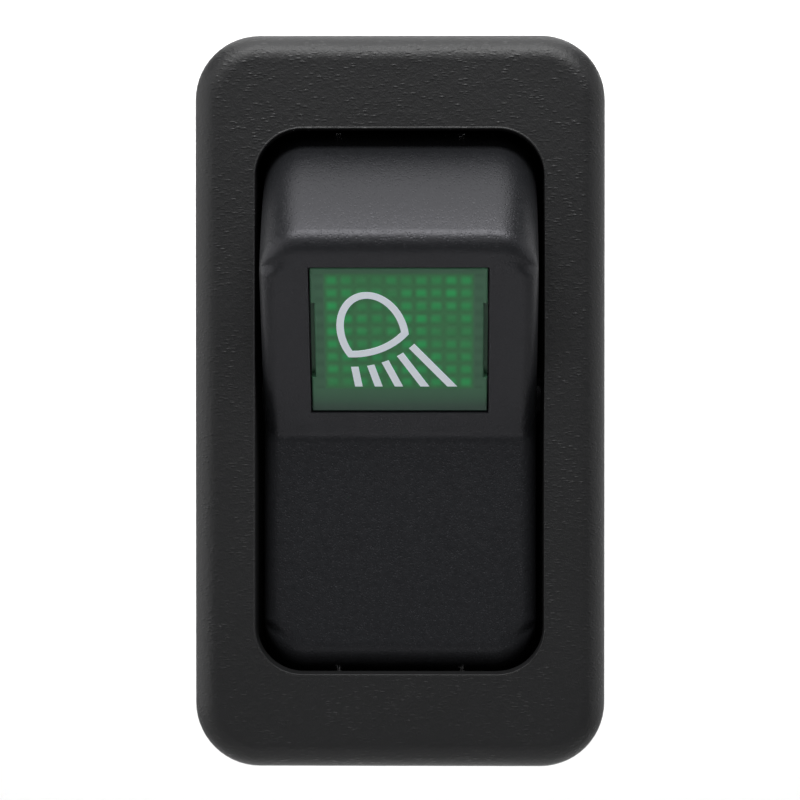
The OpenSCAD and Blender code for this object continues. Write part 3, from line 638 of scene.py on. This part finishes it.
def bezel_mesh(look):
    """The bezel's closed skin: its front, its lip, the body behind the panel and the hollow in it."""
    low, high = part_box("bezel")
    front = low.y / MM
    width, _, height = (high - low) / MM
    body_w = look.window_width + 2 * look.side_wall
    body_h = look.cavity_height + 2 * look.end_wall

    def window(out, depth):
        return rounded_ring(look.window_width + 2 * out, look.window_height + 2 * out,
                            look.window_corner + out, depth)

    def body(inset, depth):
        return rounded_ring(body_w - 2 * inset, body_h - 2 * inset, look.body_corner - inset, depth)
    rings = [rounded_ring(width, height, look.corner, 0)]
    for a in QUARTER:
        inset = look.edge * (1 - math.cos(a))
        rings.append(rounded_ring(width - 2 * inset, height - 2 * inset, look.corner - inset,
                                  front + look.edge * (1 - math.sin(a))))
    # The bead rises in three steps from the face, each so many beads from the window's edge.
    for beads, share in ((3, 0), (2, 0.5), (1, 0.9)):
        rings.append(window(look.window_edge + look.bead * beads, front - look.bead * share))
    for a in QUARTER[::-2]:
        rings.append(window(look.window_edge * (1 - math.cos(a)),
                            front - look.bead + look.window_edge * (1 - math.sin(a))))
    rings.append(window(0, front + look.lip))
    inner = (look.window_width, look.cavity_height, look.cavity_corner)
    rings += [rounded_ring(*inner, front + look.lip), rounded_ring(*inner, look.body_depth)]
    rings += [body(look.rear_edge, look.body_depth), body(0, look.body_depth - look.rear_edge),
              body(0, 0)]
    skin = joined_rings("bezel", rings, True)
    skin = combine(skin, "UNION", [snap_barb(look, body_h, end) for end in (-1, 1)])
    return combine(skin, "DIFFERENCE", bezel_cuts(look, body_w, body_h))


def snap_barb(look, body_h, end):
    """A barb on a snap tongue: a sloping grip for the panel and a long lead-in ramp."""
    wall, root, ramp = body_h / 2, body_h / 2 - look.end_wall / 2, look.grip_end + look.barb_ramp
    outline = [(root, look.grip_start), (wall, look.grip_start), (wall + look.barb, look.grip_end),
               (wall + look.barb, look.grip_end + look.barb_tip), (wall, ramp), (root, ramp)]
    half = look.tongue_width / 2
    return prism([(end * z, y) for z, y in outline], -half, half, "zyx")


def bezel_cuts(look, body_w, body_h):
    """Cutters for the slots round the tongues, the trunnions' bores and the latches' windows."""
    half, slot = look.tongue_width / 2, look.slot
    cuts = []
    for end in (-1, 1):
        near, far = beside(end, body_h / 2 - look.end_wall - OVERCUT, body_h / 2 + look.barb + OVERCUT)
        front, back = look.tongue_root, look.tongue_root + look.tongue_length
        u_shape = [(-half - slot, front), (half + slot, front), (half + slot, back), (half, back),
                   (half, front + slot), (-half, front + slot), (-half, back), (-half - slot, back)]
        cuts.append(prism(u_shape, near, far, "xyz"))
    reach = body_w / 2 + OVERCUT
    cuts.append(rod(look.trunnion_bore, -reach, reach, "x", (PIVOT.y, PIVOT.z)))
    top = FLOOR + look.latch_drop
    for side in (LEFT, RIGHT):
        near, far = beside(side, body_w / 2 - look.side_wall - OVERCUT, reach)
        for end in (-1, 1):
            z = end * look.latch_place
            cuts.append(block((near, top, z - look.latch_width / 2),
                              (far, top + look.latch_height, z + look.latch_width / 2)))
    return cuts


def outline_entry(outer, inner, round_by):
    """A point of the rocker's outline, the point where its side wall starts, and the rounding."""
    return (Vector(outer), Vector(inner), round_by)


def rocker_outline(look):
    """Sections of the rocker from the foot of one end wall, over the bend, to the other."""
    slope = look.face_slope
    dist = look.bend_height * math.cos(slope)
    low = dist - look.edge
    under = dist - look.ridge

    def turned(p):
        return (p[0] * math.cos(slope) - p[1] * math.sin(slope),
                p[0] * math.sin(slope) + p[1] * math.cos(slope))

    def ray(r, a, centre=(0, 0)):
        return (centre[0] + r * math.cos(a), centre[1] + r * math.sin(a))
    ridge = math.sqrt((look.reach - look.ridge) ** 2 - under ** 2)
    inside = math.sqrt((look.reach - look.corner) ** 2 - low ** 2)
    foot = look.skirt_angle
    ridge_angle = slope + math.atan2(under, ridge)
    inner_angle = slope + math.atan2(low, inside)
    ridge_centre = turned((ridge, under))
    inner_corner = turned((inside, low))
    wall_steps, ridge_steps, corner_steps = 16, 12, 10
    half = []
    for f in (i / wall_steps for i in range(wall_steps + 1)):
        half.append(outline_entry(ray(look.reach, foot + f * (ridge_angle - foot)),
                                  ray(look.reach - look.corner, foot + f * (inner_angle - foot)),
                                  look.corner))
    for f in (i / ridge_steps for i in range(1, ridge_steps + 1)):
        a = ridge_angle + f * (math.pi / 2 + slope - ridge_angle)
        half.append(outline_entry(ray(look.ridge, a, ridge_centre), inner_corner, look.corner))
    # The side's rounding shrinks from the corner's to the edge's, slowly at both ends.
    for f in (i / corner_steps for i in range(1, corner_steps + 1)):
        half.append(outline_entry(turned((inside + (ridge - inside) * (1 - f), dist)), inner_corner,
                                  look.corner - (look.corner - look.edge) * f * f * (3 - 2 * f)))
    bend = look.bend_height * math.sin(slope)
    for out in (look.bend_edge, look.bend_edge / 2):
        lift = (look.bend_edge - out) * look.bend_lift
        half.append(outline_entry(turned((bend + out, dist + lift)), turned((bend + out, low + lift)),
                                  look.edge))
    top = look.bend_height + look.bend_edge * look.bend_lift
    middle = outline_entry((0, top), (0, top - look.edge / math.cos(slope)), look.edge)
    mirrored = [outline_entry((-o.x, o.y), (-i.x, i.y), r) for o, i, r in reversed(half)]
    return half + [middle] + mirrored


def rocker_skin(look, place):
    """The rocker's closed skin: lofted through its outline, with ears round the trunnions."""
    outline = rocker_outline(look)

    def section(entry):
        outer, inner, round_by = entry
        points = []
        for side, angles in ((LEFT, QUARTER), (RIGHT, QUARTER[::-1])):
            for a in angles:
                p = inner + (outer - inner) * math.sin(a)
                points.append((side * (look.width / 2 - round_by * (1 - math.cos(a))), p.x, p.y))
        return points
    rings = [section(e) for e in outline]
    count = len(rings[0])
    points = [p for ring in rings for p in ring]
    faces = [(i * count + k, i * count + k + 1, (i + 1) * count + k + 1, (i + 1) * count + k)
             for i in range(len(rings) - 1) for k in range(count - 1)]
    foot = outline[0][1].y
    ear = look.trunnion + look.ear_wall
    ear_arc = [math.radians(a) for a in range(200, 341, 10)]
    under = [(-look.ear_root, foot), *((ear * math.cos(a), ear * math.sin(a)) for a in ear_arc),
             (look.ear_root, foot)]
    start = len(points)
    for side in (LEFT, RIGHT):
        points += [(side * look.width / 2, u, w) for u, w in under]
    left = [i * count for i in range(len(rings))] + [start + i for i in range(len(under))]
    right = [i * count + count - 1 for i in range(len(rings))]
    right += [start + len(under) + i for i in range(len(under))]
    faces += [tuple(left), tuple(reversed(right))]
    for i in range(len(rings) - 1, len(left)):
        j = (i + 1) % len(left)
        faces.append((left[i], right[i], right[j], left[j]))
    faces += [tuple(range(count)), tuple((len(rings) - 1) * count + k for k in range(count))]
    return tidied(mesh_from("rocker", points, faces, place))


def rocker_mesh(look, lens, place):
    """The rocker: its skin hollowed out, with trunnions, plungers' tubes and the lens's seat."""
    half = look.width / 2
    hollow = prism(hollow_outline(look), -half + look.wall, half - look.wall, "yzx", place)
    shell = combine(rocker_skin(look, place), "DIFFERENCE", [hollow])
    added = [rod(look.trunnion, *beside(side, half - look.wall / 2, half + look.trunnion_out), "x",
                 matrix=place) for side in (RIGHT, LEFT)]
    added += [rod(look.tube, -look.tube_drop, look.bend_height - look.face_wall / 2, "z",
                  (side * look.pole, 0), place) for side in (LEFT, RIGHT)]
    shell = combine(shell, "UNION", added)
    cuts = [rod(look.bore, -look.tube_drop - OVERCUT, look.bore_top, "z", (side * look.pole, 0), place)
            for side in (LEFT, RIGHT)]
    seat = place @ lens_frame(look, lens)
    half_w, half_h = lens.width / 2 + lens.fit, lens.height / 2 + lens.fit
    cuts.append(block((-half_w, -half_h, -lens.plate), (half_w, half_h, 2 * OVERCUT), seat))
    field_w, field_h, shift = prism_field(lens)
    half_w, half_h = field_w / 2 + lens.field_fit, field_h / 2 + lens.field_fit
    cuts.append(block((-half_w, shift - half_h, -2 * look.face_wall), (half_w, shift + half_h, 0), seat))
    return combine(shell, "DIFFERENCE", cuts)


def hollow_outline(look):
    """Side outline of the hollow under the rocker's face."""
    radius = look.reach - look.wall
    bend = look.bend_height - look.face_wall / math.cos(look.face_slope)
    slope = math.tan(look.face_slope)
    a = 1 + slope ** 2
    b = 2 * bend * slope
    top_u = (-b + math.sqrt(b * b - 4 * a * (bend ** 2 - radius ** 2))) / (2 * a)
    top = math.atan2(bend + slope * top_u, top_u)
    steps = 48
    span = math.pi + 2 * top
    arc = [top - span * k / steps for k in range(steps + 1)]
    return [(0, bend)] + [(radius * math.cos(t), radius * math.sin(t)) for t in arc]


def prism_field(lens):
    """Width and length of the field of prisms, and how far it lies above the lens's middle."""
    return (lens.columns * lens.pitch, lens.rows * lens.pitch,
            lens.height / 2 - lens.band - lens.rows * lens.pitch / 2)


def lens_frame(look, lens):
    """From the lens's own frame (origin in the middle of its outer face) to the rocker's."""
    along = look.bend_height * math.sin(look.face_slope) + lens.start + lens.height / 2
    dist = look.bend_height * math.cos(look.face_slope) - lens.sink
    return Matrix.Rotation(look.face_slope, 4, "X") @ Matrix.Translation((0, along, dist))


def rocker_frame():
    """From the rocker's own frame (origin on its pivot, z out of its face) to the switch's."""
    c, s = math.cos(THROW), math.sin(THROW)
    turn = Matrix(((1, 0, 0, 0), (0, -s, -c, 0), (0, c, -s, 0), (0, 0, 0, 1)))
    return Matrix.Translation(PIVOT) @ turn


def lens_mesh(lens, place):
    """The lens: a plate with relieved sides and broken edges, and crossed prisms on its back."""
    w, h, edge = lens.width / 2, lens.height / 2, lens.edge
    waist, end = w - lens.relief, lens.relief_length / 2
    outline = [(w, -h), (w, -end), (waist, -end), (waist, end), (w, end), (w, h),
               (-w, h), (-w, end), (-waist, end), (-waist, -end), (-w, -end), (-w, -h)]

    def shrunk(by):
        """The outline with its sides and ends moved in, but not its reliefs' ends."""
        return [(x - math.copysign(by, x), y if abs(y) == end else y - math.copysign(by, y))
                for x, y in outline]
    rings = [[(x, y, z) for x, y in shrunk(by)]
             for by, z in ((0, -lens.plate), (0, -edge), (edge * 0.3, -edge * 0.3), (edge, 0))]
    plate = joined_rings("plate", rings, False, place)
    lap = 0.1  # how far the reliefs' floors run into the plate past the reliefs' ends
    floors = []
    for side in (LEFT, RIGHT):
        near, far = beside(side, w - 2 * lens.relief, w)
        floors.append(block((near, -end - lap, -lens.plate), (far, end + lap, -lens.plate / 2), place))
    return combine(plate, "UNION", [*floors, prisms_mesh(lens, place), *lens_clips(lens, place)])


def prisms_mesh(lens, place):
    """The field of prisms: blunt pyramids between crossed grooves."""
    field_w, field_h, shift = prism_field(lens)
    tip = 0.04  # half of the flat on each prism
    floor = 0.05  # distance from the plate's back to the grooves' floor
    root = 0.3  # how far the field is sunk in the plate
    groove = lens.pitch / 2 - tip
    xs = [-field_w / 2 + i * lens.pitch for i in range(lens.columns + 1)]
    ys = [shift - field_h / 2 + j * lens.pitch for j in range(lens.rows + 1)]
    points = [(x, y, -lens.plate - floor) for y in ys for x in xs]
    faces = []
    width, last = len(xs), len(ys) - 1
    z = -lens.plate - lens.prism
    for j in range(lens.rows):
        for i in range(lens.columns):
            x0 = xs[i] + (groove if i else 0)
            x1 = xs[i + 1] - (groove if i < lens.columns - 1 else 0)
            y0 = ys[j] + (groove if j else 0)
            y1 = ys[j + 1] - (groove if j < lens.rows - 1 else 0)
            n = len(points)
            points += [(x0, y0, z), (x1, y0, z), (x1, y1, z), (x0, y1, z)]
            base = [j * width + i, j * width + i + 1, (j + 1) * width + i + 1, (j + 1) * width + i]
            faces.append((n + 3, n + 2, n + 1, n))
            faces += [(base[k], n + k, n + (k + 1) % 4, base[(k + 1) % 4]) for k in range(4)]
    rim = [*range(width), *(width * j + width - 1 for j in range(1, last + 1)),
           *(width * last + i for i in range(width - 2, -1, -1)),
           *(width * j for j in range(last - 1, 0, -1))]
    n = len(points)
    points += [(*points[k][:2], -lens.plate + root) for k in rim]
    faces += [(rim[k], rim[(k + 1) % len(rim)], n + (k + 1) % len(rim), n + k) for k in range(len(rim))]
    faces.append(tuple(n + k for k in range(len(rim))))
    return tidied(mesh_from("prisms", points, faces, place))


def lens_clips(lens, place):
    """The two snap clips behind the lens, at the ends of the field of prisms."""
    _, field_h, shift = prism_field(lens)
    half, hook, seat = lens.clip_wall / 2, lens.clip_wall / 2 + lens.clip_hook, -lens.clip_seat
    root, tip = 0.2, -lens.prism - lens.clip_reach
    outline = [(-half, root), (half, root), (half, seat), (hook, seat - 0.1), (hook, seat - 0.3),
               (half, tip), (-half, tip)]
    return [prism([(shift + end * (field_h / 2 - half + y), z - lens.plate) for y, z in outline],
                  -lens.clip_width / 2, lens.clip_width / 2, "yzx", place) for end in (-1, 1)]


class SWITCH_OT_bezel(bpy.types.Operator):
    """Build the grained bezel with the body behind the panel"""

    bl_idname = "rocker_switch.bezel"
    bl_label = "Bezel"

    def execute(self, context):
        look = context.scene.switch_bezel
        piece("moulded_bezel", bezel_mesh(look), "housing", "bezel_plastic", bezel_finish(look), "bezel")
        return {"FINISHED"}


class SWITCH_OT_rocker(bpy.types.Operator):
    """Build the rocker with its lens seat, tubes and trunnions"""

    bl_idname = "rocker_switch.rocker"
    bl_label = "Rocker"

    def execute(self, context):
        look, lens = context.scene.switch_rocker, context.scene.switch_lens
        piece("moulded_rocker", rocker_mesh(look, lens, rocker_frame()), "rocker", "rocker_plastic",
              rocker_finish(look), "rocker", crease=26)
        return {"FINISHED"}


class SWITCH_OT_lens(bpy.types.Operator):
    """Build the prism lens and finish the sign printed on it"""

    bl_idname = "rocker_switch.lens"
    bl_label = "Lens and sign"

    def execute(self, context):
        look = context.scene.switch_lens
        place = rocker_frame() @ lens_frame(context.scene.switch_rocker, look)
        piece("prism_lens", lens_mesh(look, place), "rocker", "green_lens", lens_finish(look, place),
              "rocker_lens", crease=20)
        dress(["work_light_sign"], print_finish(look))
        return {"FINISHED"}


class SWITCH_OT_contact_system(bpy.types.Operator):
    """Finish the contact block, terminals, contacts, plungers and springs"""

    bl_idname = "rocker_switch.contact_system"
    bl_label = "Contact system"

    def execute(self, context):
        look = context.scene.switch_works
        dress(["contact_block"], moulded_finish("block_plastic", look.block))
        terminals = [n for n in frame["nodes"] if "terminal" in n]
        dress(terminals, metal_finish("tin_plate", look.tin))
        dress(["contact_arm_left", "contact_arm_right"],
              metal_finish("arm_copper", look.copper, roughness=0.28))
        contacts = [n for n in frame["nodes"] if "_contact_" in n]
        dress(contacts, metal_finish("contact_silver", look.silver, roughness=0.25, scratch=0.003))
        dress(["plunger_left", "plunger_right"],
              metal_finish("plunger_brass", look.brass, roughness=0.22, scratch=0.003,
                           across=(9.6, 9.6, 0.8)))
        steel = metal_finish("spring_steel", look.steel, scratch=0.003)
        for joint in frame["joints"]:
            if joint["type"] == "slide":
                pressed_spring(joint, steel)
        return {"FINISHED"}


class SWITCH_OT_lamp(bpy.types.Operator):
    """Finish the lamp, its board and its resistor"""

    bl_idname = "rocker_switch.lamp"
    bl_label = "Lamp"

    def execute(self, context):
        look = context.scene.switch_works
        dress(["lamp_board"], moulded_finish("board_laminate", look.board, roughness=0.3))
        dress(["lamp"], moulded_finish("lamp_resin", look.resin, roughness=0.12))
        dress(["resistor"], moulded_finish("resistor_ceramic", look.ceramic, roughness=0.35))
        return {"FINISHED"}


class SWITCH_OT_stage(bpy.types.Operator):
    """Set up the floor, the lights and the camera"""

    bl_idname = "rocker_switch.stage"
    bl_label = "Stage"

    def execute(self, context):
        look = context.scene.switch_stage
        scene = context.scene
        scene.view_settings.view_transform = "Standard"
        sweep(look)
        world = bpy.data.worlds.new("studio")
        world.use_nodes = True
        background = world.node_tree.nodes["Background"]
        background.inputs["Color"].default_value = (1, 1, 1, 1)
        background.inputs["Strength"].default_value = look.ambient
        scene.world = world
        for light in LIGHTS:
            soft_light(*light)
        lens = bpy.data.cameras.new("camera")
        lens.angle = look.view
        lens.clip_start = 10 * MM
        camera = bpy.data.objects.new("camera", lens)
        across, up = look.aim
        back = Euler((-look.rise, 0, look.turn)).to_matrix() @ Vector((0, -look.distance, 0))
        camera.location = (Vector((across, 0, up)) + back) * MM
        camera.rotation_euler = (math.pi / 2 - look.rise, 0, look.turn)
        scene.collection.objects.link(camera)
        scene.camera = camera
        return {"FINISHED"}


def soft_light(name, where, target, size, radiance):
    """A rectangular soft light of a given brightness, aimed at a point."""
    data = bpy.data.lights.new(name, "AREA")
    data.shape = "RECTANGLE"
    data.size, data.size_y = (s * MM for s in size)
    data.energy = radiance * math.pi * data.size * data.size_y
    light = bpy.data.objects.new(name, data)
    light.location = Vector(where) * MM
    aim = (Vector(target) - Vector(where)).to_track_quat("-Z", "Y")
    light.rotation_euler = aim.to_euler()
    bpy.context.scene.collection.objects.link(light)


def sweep(look):
    """A pale floor that curves up behind the switch."""
    floor, top, near, far, half_width = -look.drop, 900, -2500, 700, 1500
    radius, steps = 300, 24
    outline = [(near, floor), (far - radius, floor)]
    outline += [(far - radius + radius * math.sin(a), floor + radius * (1 - math.cos(a)))
                for a in (math.pi / 2 * k / steps for k in range(1, steps + 1))]
    outline.append((far, top))
    points = [(x, y, z) for y, z in outline for x in (-half_width, half_width)]
    faces = [(2 * i, 2 * i + 1, 2 * i + 3, 2 * i + 2) for i in range(len(outline) - 1)]
    mesh = mesh_from("floor", points, faces)
    mesh.shade_smooth()
    finish = Finish("paper", {"Roughness": 0.8, "Base Color": tuple(look.paper)})
    mesh.materials.append(finish.material)
    floor_piece = bpy.data.objects.new("floor", mesh)
    bpy.context.scene.collection.objects.link(floor_piece)


class SWITCH_PT_pieces(bpy.types.Panel):
    """Lists the pieces of the switch"""

    bl_label = "Rocker switch"
    bl_space_type = "VIEW_3D"
    bl_region_type = "UI"
    bl_category = "Rocker switch"

    def draw(self, context):
        for operator in OPERATORS:
            self.layout.operator(operator.bl_idname)
        for group in GROUPS:
            box = self.layout.box()
            box.label(text=group.__name__)
            values = getattr(context.scene, GROUPS[group])
            for name in group.__annotations__:
                box.prop(values, name)


GROUPS = {SwitchBezel: "switch_bezel", SwitchRocker: "switch_rocker", SwitchLens: "switch_lens",
          SwitchWorks: "switch_works", SwitchStage: "switch_stage"}
OPERATORS = (SWITCH_OT_stage, SWITCH_OT_bezel, SWITCH_OT_rocker, SWITCH_OT_lens,
             SWITCH_OT_contact_system, SWITCH_OT_lamp)
CLASSES = (*GROUPS, *OPERATORS, SWITCH_PT_pieces)


def register():
    for made in CLASSES:
        bpy.utils.register_class(made)
    for group, name in GROUPS.items():
        setattr(bpy.types.Scene, name, PointerProperty(type=group))


def unregister():
    for name in GROUPS.values():
        delattr(bpy.types.Scene, name)
    for made in reversed(CLASSES):
        bpy.utils.unregister_class(made)


def main():
    register()
    bpy.ops.rocker_switch.stage()
    bpy.ops.rocker_switch.bezel()
    bpy.ops.rocker_switch.rocker()
    bpy.ops.rocker_switch.lens()
    bpy.ops.rocker_switch.contact_system()
    bpy.ops.rocker_switch.lamp()


if __name__ == "__main__":
    main()
